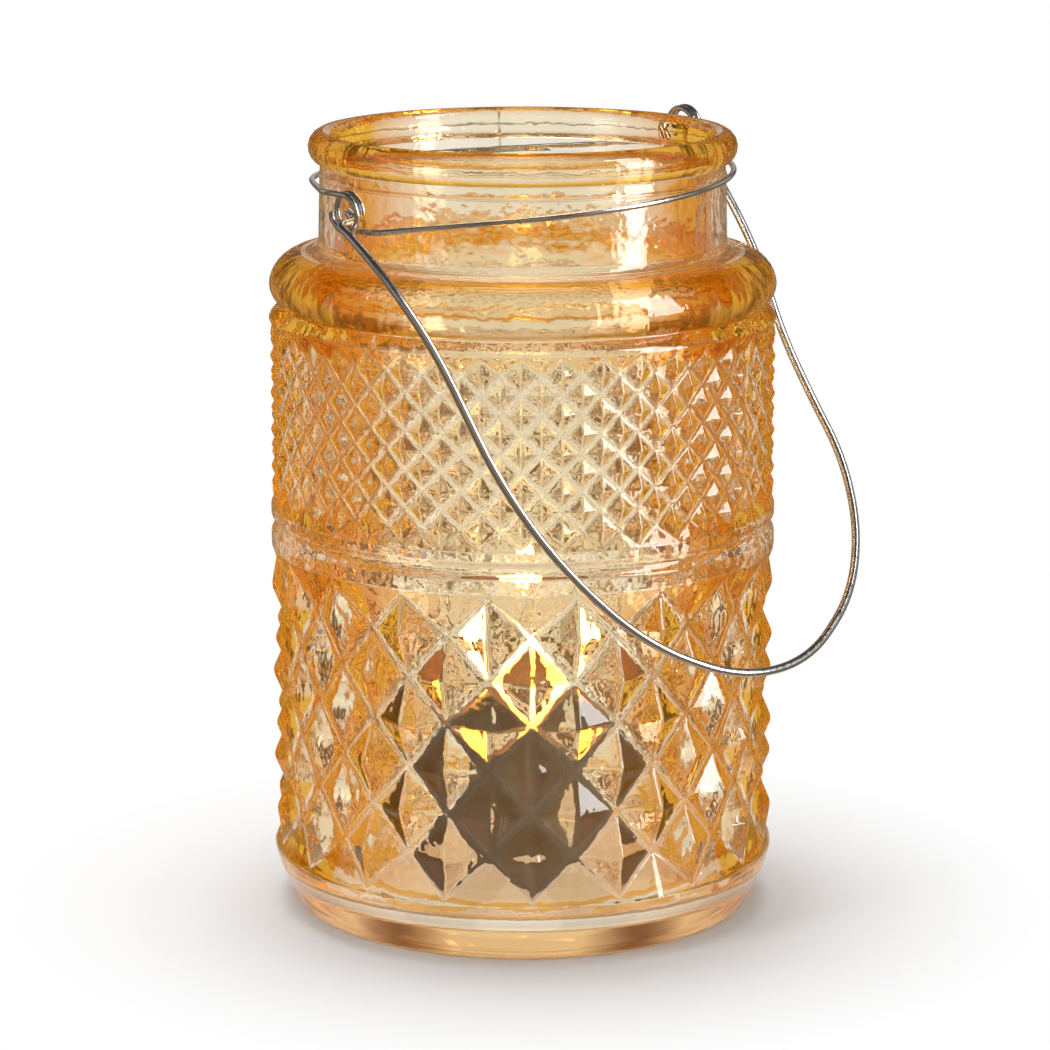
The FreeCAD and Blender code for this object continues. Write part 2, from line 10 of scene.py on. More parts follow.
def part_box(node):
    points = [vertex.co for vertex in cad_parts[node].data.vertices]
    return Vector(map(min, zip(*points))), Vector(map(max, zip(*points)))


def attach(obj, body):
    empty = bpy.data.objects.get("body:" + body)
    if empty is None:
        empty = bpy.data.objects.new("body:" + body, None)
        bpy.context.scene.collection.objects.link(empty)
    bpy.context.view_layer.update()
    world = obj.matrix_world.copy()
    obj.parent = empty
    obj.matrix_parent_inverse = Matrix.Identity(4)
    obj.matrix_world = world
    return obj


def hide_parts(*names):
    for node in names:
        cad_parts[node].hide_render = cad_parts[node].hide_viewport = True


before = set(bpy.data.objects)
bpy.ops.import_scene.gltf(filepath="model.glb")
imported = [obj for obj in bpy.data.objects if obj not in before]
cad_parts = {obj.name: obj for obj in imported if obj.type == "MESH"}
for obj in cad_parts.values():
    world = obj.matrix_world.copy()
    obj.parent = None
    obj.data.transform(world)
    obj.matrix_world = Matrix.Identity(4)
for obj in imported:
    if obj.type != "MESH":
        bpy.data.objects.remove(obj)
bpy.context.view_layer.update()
JAR_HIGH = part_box("jar")[1]

bl_info = {
    "name": "Mason Jar Lantern",
    "version": (1, 0, 0),
    "blender": (4, 5, 0),
    "location": "View3D > Sidebar > Lantern",
    "description": "Builds a pressed glass jar lantern around its packed parts",
    "category": "Object",
}

MM = 0.001
UP = Vector((0, 0, 1))

# Rise of a quarter circle over its chord, as a share of the chord
QUARTER = (math.sqrt(2) - 1) / 2

# Bearing of the first column of each band, from -Y
LARGE_TURN = math.radians(-41.85)
SMALL_TURN = math.radians(-44.4)

# Share of their depth that the valleys keep at a band's rims
RUN_OUT = 0.4

# Colour of the pale cards as they show through the glass
PALE_CARD = (0.90, 0.88, 0.85)


def length(label, value, text):
    """A length property with a default in metres."""
    return bpy.props.FloatProperty(
        name=label, description=text, default=value, unit="LENGTH", precision=5
    )


def tint(label, value, text):
    """A colour property."""
    return bpy.props.FloatVectorProperty(
        name=label, description=text, default=value, subtype="COLOR", size=3, min=0, max=1
    )


def share(label, value, text, top=1.0):
    """A plain number property from zero up."""
    return bpy.props.FloatProperty(name=label, description=text, default=value, min=0, max=top)


def angle(label, degrees, text):
    """An angle property with a default in degrees."""
    return bpy.props.FloatProperty(
        name=label, description=text, default=math.radians(degrees), subtype="ANGLE"
    )


def tally(label, value, text):
    """A whole number property."""
    return bpy.props.IntProperty(name=label, description=text, default=value, min=1)


class JarSettings(bpy.types.PropertyGroup):
    """Sizes and tint of the pressed glass jar."""

    wall_radius: length("Wall radius", JAR_HIGH.x, "Outside radius of the smooth wall")
    height: length("Height", JAR_HIGH.z, "From the foot to the top of the rim")
    wall: length("Wall", 5.8 * MM, "Thickness of the glass at the belt")
    floor: length("Floor", 7.6 * MM, "Thickness of the floor")
    floor_corner: length("Floor corner", 8.0 * MM, "Radius between the floor and the wall inside")
    foot: length("Foot", JAR_HIGH.x - 7.5 * MM, "Outside radius of the foot ring")
    foot_width: length("Foot width", 7.0 * MM, "Width of the foot ring")
    foot_corner: length("Foot corner", 2.7 * MM, "Size of the foot's rounded edge")
    recess: length("Recess", 1.8 * MM, "Depth of the hollow under the floor")
    large_bottom: length("Large bottom", 14.8 * MM, "Height of the large diamonds' lower edge")
    large_pitch: length("Large pitch", 10.65 * MM, "Half the height of a large diamond")
    large_tip: length("Large tip", JAR_HIGH.x + 0.5 * MM, "Radius of the large points before rounding")
    large_depth: length("Large depth", 4.5 * MM, "Depth of the valleys between large diamonds")
    large_valley: length("Large valley", 1.7 * MM, "Half width of the rounded valleys")
    large_crease: length("Large crease", 1.0 * MM, "Half width of the rounded creases")
    large_count: tally("Large count", 18, "Large diamonds round the jar")
    large_rows: tally("Large rows", 7, "Half rows of large diamonds")
    small_bottom: length("Small bottom", 99.85 * MM, "Height of the small diamonds' lower edge")
    small_pitch: length("Small pitch", 4.51 * MM, "Half the height of a small diamond")
    small_tip: length("Small tip", JAR_HIGH.x + 0.05 * MM, "Radius of the small points before rounding")
    small_depth: length("Small depth", 2.0 * MM, "Depth of the valleys between small diamonds")
    small_valley: length("Small valley", 1.15 * MM, "Half width of the rounded valleys")
    small_crease: length("Small crease", 0.45 * MM, "Half width of the rounded creases")
    small_count: tally("Small count", 40, "Small diamonds round the jar")
    small_rows: tally("Small rows", 10, "Half rows of small diamonds")
    belt: length("Belt", 4.2 * MM, "Height of the belt over the large diamonds")
    belt_groove: length("Belt groove", 3.4 * MM, "Height of the groove over the belt")
    groove_rise: length("Groove rise", 3.4 * MM, "From the small diamonds to the shoulder's groove")
    widest_rise: length("Widest rise", 8.6 * MM, "From the small diamonds to the shoulder's bulge")
    shoulder_rise: length("Shoulder rise", 16.1 * MM, "From the small diamonds to the shoulder's top")
    neck: length("Neck", JAR_HIGH.x - 12.1 * MM, "Outside radius at the foot of the neck")
    neck_fillet: length("Neck fillet", 3.1 * MM, "Radius between the shoulder and the neck")
    neck_wall: length("Neck wall", 3.4 * MM, "Thickness of the neck")
    rim: length("Rim", 7.6 * MM, "Height of the rim's bead")
    lip: length("Lip", 2.0 * MM, "Radius of the mouth's inner edge")
    # Painted light: the valleys' near-clear tint stands in for the pale light the rounded ribs let
    # through.
    painted_rib_light: tint("Rib tint", (0.99, 0.965, 0.92), "Nearly clear glass in the valleys")
    wall_tint: tint("Wall tint", (0.965, 0.885, 0.70), "Amber stain of the smooth walls, seen square on")
    facet_tint: tint("Facet tint", (0.96, 0.85, 0.62), "Amber stain of the facets, seen square on")
    # Painted shade: the shoulder's deeper amber stands in for shade, not for darker glass.
    painted_shoulder_shade: tint("Deep tint", (0.88, 0.63, 0.26), "Amber stain of the shoulder, seen square on")
    edge_tint: tint("Edge tint", (0.84, 0.31, 0.008), "Amber stain seen along the surface")
    glass: tint("Glass", (0.95, 0.70, 0.08), "What is left of white light deep in the glass")
    density: share("Density", 9.0, "How quickly the glass tints light, per metre", 1000.0)


class WireSettings(bpy.types.PropertyGroup):
    """Finish of the bail and the neck wires."""

    steel: tint("Steel", (0.60, 0.59, 0.58), "Colour of the bright drawn wire")
    worn: tint("Dull steel", (0.30, 0.29, 0.28), "Colour of the dull streaks along the wire")


class CandleSettings(bpy.types.PropertyGroup):
    """Finish of the battery candle and its light."""

    shell: tint("Shell", (0.150, 0.112, 0.080), "Colour of the moulded drum")
    base: tint("Base", (0.105, 0.082, 0.062), "Colour of the base plate and its cap")
    flame: tint("Flame", (1.0, 0.66, 0.15), "Colour of the flame's middle")
    ember: tint("Ember", (1.0, 0.36, 0.04), "Colour of the flame's foot and tip")
    glow: share("Glow", 18.0, "Strength of the flame's light", 100.0)


class StudioSettings(bpy.types.PropertyGroup):
    """Where the camera stands and how pale the surroundings are."""

    distance: length("Distance", 0.960, "Level distance of the camera from the jar's axis")
    camera_height: length("Height", 0.3021, "Height of the camera over the floor")
    bearing: angle("Bearing", -44, "Camera bearing from the front")
    pitch: angle("Pitch", 12.28, "How far the camera looks down")
    lens: share("Lens", 137.95, "Focal length in millimetres", 1000.0)
    shift: bpy.props.FloatProperty(
        name="Shift", description="Sideways shift of the frame", default=0.0021
    )
    # The floor's grey shows only near the jar and fades to white there: a painted shadow round the foot.
    floor: tint("Floor", (0.66, 0.66, 0.66), "Colour of the floor")


class Value:
    """One output of a shader node, ready for Python arithmetic."""

    def __init__(self, finish, socket):
        self.finish = finish
        self.socket = socket

    def maths(self, operation, first, second):
        return self.finish.node("ShaderNodeMath", {"operation": operation}, {0: first, 1: second})

    def __add__(self, other):
        return self.maths("ADD", self, other)

    def __radd__(self, other):
        return self.maths("ADD", other, self)

    def __sub__(self, other):
        return self.maths("SUBTRACT", self, other)

    def __rsub__(self, other):
        return self.maths("SUBTRACT", other, self)

    def __mul__(self, other):
        return self.maths("MULTIPLY", self, other)

    def __rmul__(self, other):
        return self.maths("MULTIPLY", other, self)

    def __truediv__(self, other):
        return self.maths("DIVIDE", self, other)

    def __pow__(self, other):
        return self.maths("POWER", self, other)


class Finish:
    """A node tree under construction, for a material or the world."""

    def __init__(self, tree):
        self.tree = tree
        tree.nodes.clear()

    def node(self, kind, settings=None, inputs=None, output=0):
        """Adds any node: its settings first, then the values or links of its sockets."""
        made = self.tree.nodes.new(kind)
        for name, setting in (settings or {}).items():
            if name == "stops":
                self.stops(made.color_ramp, setting)
            else:
                setattr(made, name, setting)
        for name, value in (inputs or {}).items():
            socket = made.inputs[name]
            if isinstance(value, Value):
                self.tree.links.new(value.socket, socket)
            else:
                socket.default_value = value
        return Value(self, made.outputs[output]) if made.outputs else made

    def stops(self, ramp, stops):
        """Sets a ramp's stops from pairs of place and colour."""
        while len(ramp.elements) < len(stops):
            ramp.elements.new(0.5)
        for element, (place, colour) in zip(ramp.elements, stops):
            element.position = place
            element.color = (*colour, 1)

    def place(self):
        """Object coordinates."""
        return self.node("ShaderNodeTexCoord", output="Object")

    def axes(self, vector):
        """The three parts of a vector."""
        parts = self.node("ShaderNodeSeparateXYZ", inputs={0: vector})
        return [Value(self, socket) for socket in parts.socket.node.outputs]

    def stretched(self, scale):
        """Object coordinates stretched along the axes."""
        return self.node("ShaderNodeMapping", inputs={"Vector": self.place(), "Scale": scale})

    def noise(self, scale, detail=3.0, roughness=0.5, vector=None):
        """Cloudy noise from 0 to 1."""
        vector = vector or self.place()
        inputs = {"Vector": vector, "Scale": scale, "Detail": detail, "Roughness": roughness}
        return self.node("ShaderNodeTexNoise", inputs=inputs)

    def fit(self, value, low, high, first=0.0, last=1.0):
        """Maps a range of values to another one and stops at its ends."""
        inputs = {"Value": value, "From Min": low, "From Max": high, "To Min": first, "To Max": last}
        return self.node("ShaderNodeMapRange", inputs=inputs)

    def blend(self, factor, first, second):
        """A colour between two colours."""
        first = first if isinstance(first, Value) else (*first, 1)
        second = second if isinstance(second, Value) else (*second, 1)
        return self.node("ShaderNodeMix", {"data_type": "RGBA"}, {0: factor, 6: first, 7: second}, 2)

    def cards(self, x, y):
        """Eight pale cards round the jar with gaps between them, from 0 to 1."""
        bearing = x.maths("ARCTAN2", x, y)
        return self.fit(x.maths("COSINE", bearing * 8.0, 0.0), -1.0, 0.0)

    def bump(self, height, distance, strength=1.0):
        """A bumped normal."""
        inputs = {"Height": height, "Distance": distance, "Strength": strength}
        return self.node("ShaderNodeBump", inputs=inputs)

    def surface(self, **sockets):
        """The shader of the surface, joined to the output."""
        inputs = {name.replace("_", " "): value for name, value in sockets.items()}
        for name, value in inputs.items():
            if isinstance(value, tuple) and len(value) == 3:
                inputs[name] = (*value, 1)
        shader = self.node("ShaderNodeBsdfPrincipled", inputs=inputs)
        return self.node("ShaderNodeOutputMaterial", inputs={"Surface": shader})


def new_material(name):
    """An empty node material and its finish."""
    material = bpy.data.materials.new(name)
    material.use_nodes = True
    return material, Finish(material.node_tree)


def dress(node, material):
    """Gives a carried-over node its material."""
    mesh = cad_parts[node].data
    mesh.materials.clear()
    mesh.materials.append(material)


def new_piece(name, bm, material, body, node):
    """Turns a finished bmesh into the piece that stands for a node."""
    bmesh.ops.recalc_face_normals(bm, faces=bm.faces)
    mesh = bpy.data.meshes.new(name)
    bm.to_mesh(mesh)
    bm.free()
    mesh.materials.append(material)
    mesh.shade_smooth()
    piece = bpy.data.objects.new(name, mesh)
    bpy.context.scene.collection.objects.link(piece)
    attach(piece, body)
    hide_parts(node)
    return piece


def bowed(here, there, bow, step):
    """Points of an arc after its start; bow is its rise to the right as a share of its chord."""
    run = there - here
    half = 2 * math.atan(2 * abs(bow))
    arc = run.length * half / math.sin(half)
    count = max(2, round(arc / step))
    side = Vector((run.y, -run.x)) * math.copysign(1, bow)
    points = []
    for index in range(1, count + 1):
        swing = half * (2 * index / count - 1)
        along = 0.5 + math.sin(swing) / (2 * math.sin(half))
        out = (math.cos(swing) - math.cos(half)) / (2 * math.sin(half))
        points.append(here + run * along + side * out)
    return points


def outline(start, steps, step=1.3 * MM):
    """Radius and height of every ring along a turned outline, arcs included."""
    here = Vector(start)
    points = []
    for place in steps:
        there = Vector(place[:2])
        if len(place) == 3:
            points += bowed(here, there, place[2], step)
        else:
            points.append(there)
        here = there
    return points


def rim_edges(bm, height):
    """Boundary edges that lie at a height."""
    near = 1e-5
    return [
        edge for edge in bm.edges
        if edge.is_boundary and all(abs(vert.co.z - height) < near for vert in edge.verts)
    ]


def rings_on(bm, edges, rings):
    """Extrudes a closed row of edges through rings of radius and height, and returns the last row."""
    for radius, height in rings:
        made = bmesh.ops.extrude_edge_only(bm, edges=edges)["geom"]
        verts = [item for item in made if isinstance(item, bmesh.types.BMVert)]
        edges = [item for item in made if isinstance(item, bmesh.types.BMEdge) and item.is_boundary]
        for vert in verts:
            vert.co.xy *= radius / vert.co.xy.length
            vert.co.z = height
    return edges


def bevelled(bm, edges, width, segments):
    """Bevels edges, flat with one segment and round with more."""
    bmesh.ops.bevel(
        bm, geom=edges, offset=width, offset_type="OFFSET", segments=segments, profile=0.5,
        affect="EDGES", clamp_overlap=False, loop_slide=True, material=-1,
    )


def inner_edges(verts):
    """Edges at the vertices that aren't on a rim."""
    return list({edge for vert in verts for edge in vert.link_edges if not edge.is_boundary})


def diamond_band(bm, count, rows, bottom, pitch, depth, turn, tip_radius, valley, crease, limit):
    """A band of four-sided points whose valleys run out at its rims, none outside the limit radius."""
    columns = 2 * count
    spin = Matrix.Translation((0, 0, bottom)) @ Matrix.Rotation(turn - math.pi / 2, 4, "Z")
    old_verts = set(bm.verts)
    bmesh.ops.create_circle(bm, segments=columns, radius=tip_radius, matrix=spin)
    ring = [vert for vert in bm.verts if vert not in old_verts]
    edges = list({edge for vert in ring for edge in vert.link_edges})
    for _ in range(rows):
        made = bmesh.ops.extrude_edge_only(bm, edges=edges)["geom"]
        edges = [item for item in made if isinstance(item, bmesh.types.BMEdge) and item.is_boundary]
        lifted = [item for item in made if isinstance(item, bmesh.types.BMVert)]
        bmesh.ops.translate(bm, verts=lifted, vec=UP * pitch)
    verts = [vert for vert in bm.verts if vert not in old_verts]
    valleys = []
    tips = []
    for vert in verts:
        row = round((vert.co.z - bottom) / pitch)
        bearing = math.atan2(vert.co.x, -vert.co.y) - turn
        column = round(bearing / (2 * math.pi) * columns)
        if (row + column) % 2 == 0:
            kept = RUN_OUT if row in (0, rows) else 1
            vert.co.xy *= 1 - kept * depth / tip_radius
            valleys.append(vert)
        else:
            tips.append(vert)
    channels = bmesh.ops.connect_verts(bm, verts=valleys)["edges"]
    bevelled(bm, channels, valley, 3)
    bevelled(bm, inner_edges(tips), crease, 3)
    top = bottom + rows * pitch
    for vert in bm.verts:
        if vert not in old_verts:
            vert.co.z = min(max(vert.co.z, bottom), top)
            vert.co.xy *= min(1, limit / vert.co.xy.length)
    spacing = 2.0 * MM
    for height in (bottom, top):
        cuts = {}
        for edge in rim_edges(bm, height):
            cuts.setdefault(round(edge.calc_length() / spacing) - 1, []).append(edge)
        for number, group in cuts.items():
            if number > 0:
                bmesh.ops.subdivide_edges(bm, edges=group, cuts=number)


class JARLANTERN_OT_glass(bpy.types.Operator):
    """Makes the pressed glass jar with its two bands of diamonds"""

    bl_idname = "jar_lantern.glass"
    bl_label = "Glass Jar"

    def execute(self, context):
        sizes = context.scene.jar_lantern_jar
        wall = sizes.wall_radius
        large_top = sizes.large_bottom + sizes.large_rows * sizes.large_pitch
        small_top = sizes.small_bottom + sizes.small_rows * sizes.small_pitch
        bm = bmesh.new()
        diamond_band(
            bm, sizes.large_count, sizes.large_rows, sizes.large_bottom, sizes.large_pitch,
            sizes.large_depth, LARGE_TURN, sizes.large_tip, sizes.large_valley, sizes.large_crease, wall,
        )
        self.lower_wall(bm, sizes, rim_edges(bm, sizes.large_bottom))
        belt_low = self.belt(bm, sizes, rim_edges(bm, large_top), large_top)
        diamond_band(
            bm, sizes.small_count, sizes.small_rows, sizes.small_bottom, sizes.small_pitch,
            sizes.small_depth, SMALL_TURN, sizes.small_tip, sizes.small_valley, sizes.small_crease, wall,
        )
        belt_end = (wall, sizes.small_bottom - 0.4 * MM)
        belt_high = rings_on(bm, rim_edges(bm, sizes.small_bottom), [belt_end])
        bmesh.ops.bridge_loops(bm, edges=belt_low + belt_high)
        self.upper_wall(bm, sizes, rim_edges(bm, small_top), small_top)
        bmesh.ops.remove_doubles(bm, verts=bm.verts, dist=1e-7)
        bmesh.ops.recalc_face_normals(bm, faces=bm.faces)
        self.stain(bm, sizes.large_bottom, large_top, sizes.large_tip, sizes.large_depth)
        self.stain(bm, sizes.small_bottom, small_top, sizes.small_tip, sizes.small_depth)
        self.paint_light_and_frost(bm, sizes, large_top, small_top)
        jar = new_piece("glass_jar", bm, self.pressed_glass(sizes), "jar", "jar")
        weigh = jar.modifiers.new("Even facets", "WEIGHTED_NORMAL")
        weigh.mode = "FACE_AREA_WITH_ANGLE"
        weigh.weight = 60
        return {"FINISHED"}

    def stain(self, bm, bottom, top, tip_radius, depth):
        """Marks the facets of a band with 1 for their amber stain, and its valleys with -1 for painted
        light that makes them paler than the glass; smooth walls keep 0.
        """
        name = "stain"
        layer = bm.faces.layers.float.get(name) or bm.faces.layers.float.new(name)
        band_low = tip_radius - 1.3 * depth
        valley_high = tip_radius - 0.6 * depth
        valley_level = 0.92
        for face in bm.faces:
            middle = face.calc_center_median()
            radius = middle.xy.length
            if not bottom < middle.z < top or radius < band_low:
                continue
            level = face.normal.xy.dot(middle.xy) / radius
            face[layer] = -1 if radius < valley_high and level > valley_level else 1

    def paint_light_and_frost(self, bm, sizes, large_top, small_top):
        """Paints light on the foot, belt and neck with a pale tint, paints shade on the shoulder with a
        deep amber tint, and frosts the inside of the top.
        """
        frost = bm.faces.layers.float.new("frost")
        layer = bm.faces.layers.float["stain"]
        shoulder_low = small_top + 4.0 * MM
        shoulder_top = small_top + sizes.shoulder_rise
        # Painted light on the foot, belt and neck (pale), and painted shade on the shoulder (deep).
        painted_light_zones = (
            (-math.inf, sizes.large_bottom, -0.8),
            (large_top, sizes.small_bottom, -1.0),
            (shoulder_low, shoulder_top, 1.2),
            (shoulder_top, sizes.height - sizes.rim, -1.0),
        )
        for face in bm.faces:
            middle = face.calc_center_median()
            inward = face.normal.xy.dot(middle.xy) < -1e-9
            face[frost] = inward and middle.z > shoulder_low
            for low, high, stain in painted_light_zones:
                if low < middle.z < high and not inward:
                    face[layer] = stain

    def lower_wall(self, bm, sizes, edges):
        """The taper under the large diamonds, the foot ring and the recess under the floor."""
        foot = sizes.foot
        corner = sizes.foot_corner
        inner = foot - sizes.foot_width
        recess = sizes.recess
        start = (sizes.wall_radius, sizes.large_bottom - 0.5 * MM)
        steps = [
            (foot + corner, corner, -0.056),
            (foot, 0, -0.16),
            (inner + 0.6 * MM, 0),
            (inner - 0.4 * MM, 0.3 * MM, -QUARTER / 2),
            (inner - 3.4 * MM, recess - 0.3 * MM),
            (inner - 4.4 * MM, recess, QUARTER / 2),
            (26 * MM, recess),
            (13 * MM, recess),
            (4 * MM, recess),
        ]
        centre = rings_on(bm, edges, [start] + outline(start, steps))
        bmesh.ops.contextual_create(bm, geom=centre)

    def belt(self, bm, sizes, edges, large_top):
        """The belt over the large diamonds, with the groove above it."""
        wall = sizes.wall_radius
        belt_top = large_top + sizes.belt
        groove = sizes.belt_groove
        start = (wall - 0.25 * MM, large_top + 0.1 * MM)
        steps = [
            (wall, large_top + 0.6 * MM, QUARTER / 2),
            (wall, belt_top - 0.7 * MM),
            (wall - 0.3 * MM, belt_top, QUARTER / 2),
            (wall - 1.15 * MM, belt_top + 0.4 * groove, -0.1),
            (wall - 0.35 * MM, belt_top + groove, -0.14),
            (wall, belt_top + groove + 0.7 * MM, QUARTER / 2),
        ]
        return rings_on(bm, edges, [start] + outline(start, steps, 0.5 * MM))

    def upper_wall(self, bm, sizes, edges, small_top):
        """Groove, shoulder, neck and rim, then down inside to the middle of the floor."""
        wall = sizes.wall_radius
        bore = wall - sizes.wall
        neck = sizes.neck
        groove = small_top + sizes.groove_rise
        shoulder_top = small_top + sizes.shoulder_rise
        neck_foot = shoulder_top + sizes.neck_fillet
        rim = sizes.height
        rim_low = rim - sizes.rim
        rim_radius = neck + 2.3 * MM
        mouth = neck - sizes.neck_wall
        bore_top = shoulder_top - 1.0 * MM
        bore_low = bore_top - 12.0 * MM
        floor = sizes.floor
        corner = sizes.floor_corner
        start = (wall, small_top + 0.4 * MM)
        steps = [
            (wall - 0.8 * MM, groove - 1.7 * MM, 0.08),
            (wall - 2.5 * MM, groove - 0.2 * MM, 0.04),
            (wall - 2.5 * MM, groove + 0.3 * MM, -0.2),
            (wall - 1.6 * MM, groove + 1.3 * MM, -0.04),
            (wall - 0.1 * MM, small_top + sizes.widest_rise, 0.09),
            (neck + sizes.neck_fillet, shoulder_top, 0.205),
            (neck, neck_foot, -QUARTER),
            (neck - 0.35 * MM, rim_low - 3.6 * MM),
            (neck - 0.1 * MM, rim_low - 3.0 * MM, 0.1),
            (neck - 0.45 * MM, rim_low - 2.4 * MM, 0.1),
            (neck - 0.5 * MM, rim_low - 0.5 * MM),
            (neck - 0.1 * MM, rim_low, -QUARTER),
            (rim_radius, rim_low + 3.9 * MM, 0.15),
            (rim_radius, rim - 3.4 * MM),
            (rim_radius - 2.6 * MM, rim, 0.15),
            (mouth + sizes.lip, rim),
            (mouth, rim - sizes.lip, QUARTER),
            (mouth, (rim + bore_top) / 2),
            (mouth, bore_top),
            (bore, bore_low, -0.13),
            (bore, 120 * MM),
            (bore, 80 * MM),
            (bore, 40 * MM),
            (bore, floor + corner),
            (bore - corner, floor, -QUARTER),
            (30 * MM, floor),
            (15 * MM, floor),
            (4 * MM, floor),
        ]
        centre = rings_on(bm, edges, [start] + outline(start, steps))
        bmesh.ops.contextual_create(bm, geom=centre)

    def pressed_glass(self, sizes):
        """Clear amber glass with the faint waves of a mould and three mould seams."""
        material, finish = new_material("pressed_amber_glass")
        x, y, z = finish.axes(finish.place())
        radius = (x * x + y * y) ** 0.5
        bore = sizes.wall_radius - sizes.wall
        mouth = sizes.neck - sizes.neck_wall
        inside = finish.fit(radius, bore + 0.8 * MM, bore + 1.6 * MM, 1.6, 0.0)
        inside = inside * finish.fit(z, 145 * MM, 155 * MM, 1.0, 0.0) + 1.0
        waves = finish.noise(170.0, 2.0, 0.45) * inside
        ripple = finish.noise(450.0, 1.0, 0.4)
        seam_turn = 0.103
        seams = 3.0
        bearing = x.maths("ARCTAN2", x, 0.0 - y) / (2 * math.pi) + seam_turn
        around = x.maths("FLOORED_MODULO", bearing * seams, 1.0)
        seam = finish.fit(x.maths("ABSOLUTE", around - 0.5, 0.0), 0.0, 0.0035, 1.0, 0.0)
        seam = seam * finish.fit(z, 162 * MM, 166 * MM)
        seam = seam * finish.fit(radius, mouth + 1.1 * MM, mouth + 1.8 * MM)
        height = (waves + ripple * 0.22) * finish.fit(z, 10 * MM, 18 * MM) + seam * 0.6
        normal = finish.bump(height, 0.3 * MM, 0.9)
        facing = finish.node("ShaderNodeLayerWeight", inputs={"Blend": 0.5}, output="Facing")
        stain = finish.node("ShaderNodeAttribute", {"attribute_name": "stain"}, output="Fac")
        frost = finish.node("ShaderNodeAttribute", {"attribute_name": "frost"}, output="Fac")
        grazing = finish.fit(facing, 0.10, 0.40) * finish.fit(stain, -1.0, 0.0, 0.4, 1.0)
        # Painted light and shade: a paler tint in the valleys and on the foot, belt and neck, and a
        # deeper amber on the shoulder; the rest is the glass's own stain.
        pale = finish.fit(stain, -1.0, 0.0)
        square = finish.blend(pale, tuple(sizes.painted_rib_light), tuple(sizes.wall_tint))
        square = finish.blend(finish.fit(stain, 0.0, 1.0), square, tuple(sizes.facet_tint))
        square = finish.blend(finish.fit(stain, 1.0, 2.0), square, tuple(sizes.painted_shoulder_shade))
        shader = finish.node("ShaderNodeBsdfPrincipled", inputs={
            "Base Color": finish.blend(grazing, square, tuple(sizes.edge_tint)),
            "Roughness": finish.fit(z, 0.0, 2.2 * MM, 0.45, 0.0) + frost * 0.08,
            "IOR": 1.5,
            "Transmission Weight": 1.0,
            "Normal": normal,
        })
        depth = finish.node("ShaderNodeVolumeAbsorption", inputs={
            "Color": (*sizes.glass, 1),
            "Density": sizes.density,
        })
        finish.node("ShaderNodeOutputMaterial", inputs={"Surface": shader, "Volume": depth})
        return material


class JARLANTERN_OT_wires(bpy.types.Operator):
    """Finishes the bail and both neck wires as bright drawn wire"""

    bl_idname = "jar_lantern.wires"
    bl_label = "Wires"

    def execute(self, context):
        colours = context.scene.jar_lantern_wire
        material, finish = new_material("bright_drawn_wire")
        streaks = finish.noise(900.0, 4.0, 0.6, finish.stretched((1.0, 1.0, 0.25)))
        dull = finish.fit(streaks, 0.55, 0.75)
        finish.surface(
            Base_Color=finish.blend(dull, tuple(colours.steel), tuple(colours.worn)),
            Metallic=1.0,
            Roughness=finish.fit(streaks, 0.3, 0.7, 0.14, 0.30),
            Normal=finish.bump(streaks, 0.03 * MM, 0.5),
        )
        for node in ("bail", "neck_wire_front", "neck_wire_back"):
            dress(node, material)
        return {"FINISHED"}


class JARLANTERN_OT_candle(bpy.types.Operator):
    """Finishes the candle's drum, its base plate, the battery cap and the screws"""

    bl_idname = "jar_lantern.candle"
    bl_label = "Candle"

    def execute(self, context):
        colours = context.scene.jar_lantern_candle
        dress("candle_body", self.moulded("moulded_drum", tuple(colours.shell), 0.5))
        dark = self.moulded("moulded_base", tuple(colours.base), 0.42)
        dress("base_plate", dark)
        dress("battery_cap", dark)
        dress("base_screws", plated("zinc_screw", (0.55, 0.56, 0.58), 0.30))
        return {"FINISHED"}

    def moulded(self, name, colour, rough):
        """Matt moulded plastic with a fine spark texture and slight clouding."""
        material, finish = new_material(name)
        cloud = finish.noise(60.0, 3.0)
        grain = finish.noise(2600.0, 2.0)
        paler = tuple(part * 1.25 for part in colour)
        finish.surface(
            Base_Color=finish.blend(cloud, colour, paler),
            Roughness=finish.fit(grain, 0.3, 0.7, rough, rough + 0.14),
            Normal=finish.bump(grain, 0.05 * MM, 0.6),
        )
        return material


def plated(name, colour, rough):
    """Plated metal with brushed streaks."""
    material, finish = new_material(name)
    streaks = finish.noise(700.0, 3.0, 0.6, finish.stretched((1.0, 0.12, 1.0)))
    dark = tuple(part * 0.7 for part in colour)
    finish.surface(
        Base_Color=finish.blend(finish.fit(streaks, 0.35, 0.75), colour, dark),
        Metallic=1.0,
        Roughness=finish.fit(streaks, 0.3, 0.7, rough, rough + 0.15),
        Normal=finish.bump(streaks, 0.02 * MM, 0.5),
    )
    return material


